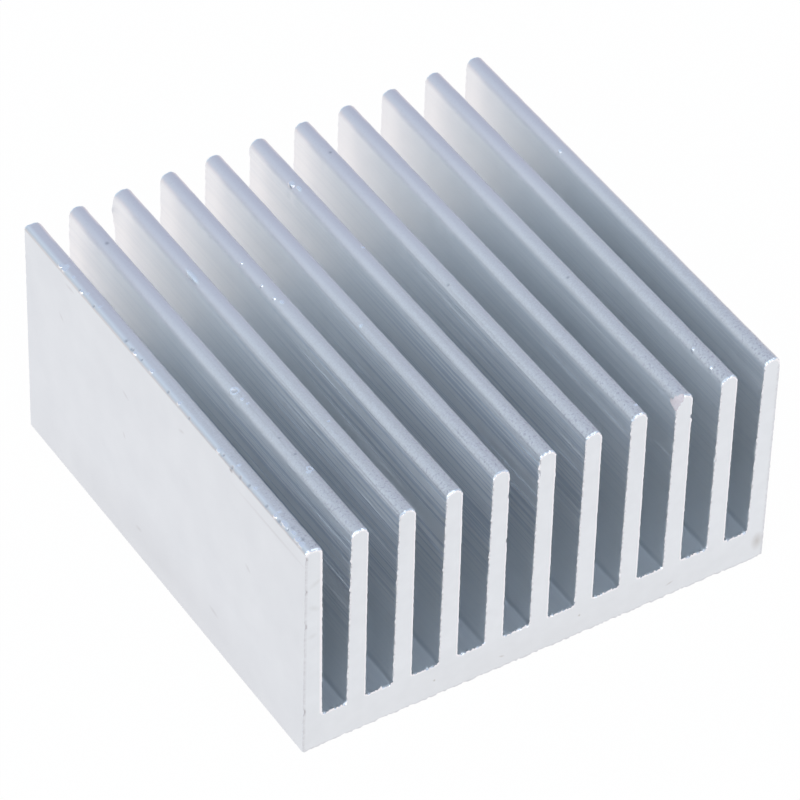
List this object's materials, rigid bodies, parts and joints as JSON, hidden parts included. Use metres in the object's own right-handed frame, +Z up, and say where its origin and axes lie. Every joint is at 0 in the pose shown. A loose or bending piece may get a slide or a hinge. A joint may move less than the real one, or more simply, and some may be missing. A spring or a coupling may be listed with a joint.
{
  "type": "heat sink",
  "caption": "Square finned aluminium extrusion with a flat base and a comb of straight parallel fins, for cooling a chip or module by air.",
  "frame": {"origin": "centre of the base's underside", "axes": "+X across the fins, +Y along the fins, +Z up from the base to the fin tips"},
  "size_m": [0.04, 0.04, 0.02],
  "materials": {
    "aluminium": "natural mill finish, extruded, saw-cut ends"
  },
  "bodies": {
    "root": {"heat_sink": "aluminium"}
  },
  "joints": []
}
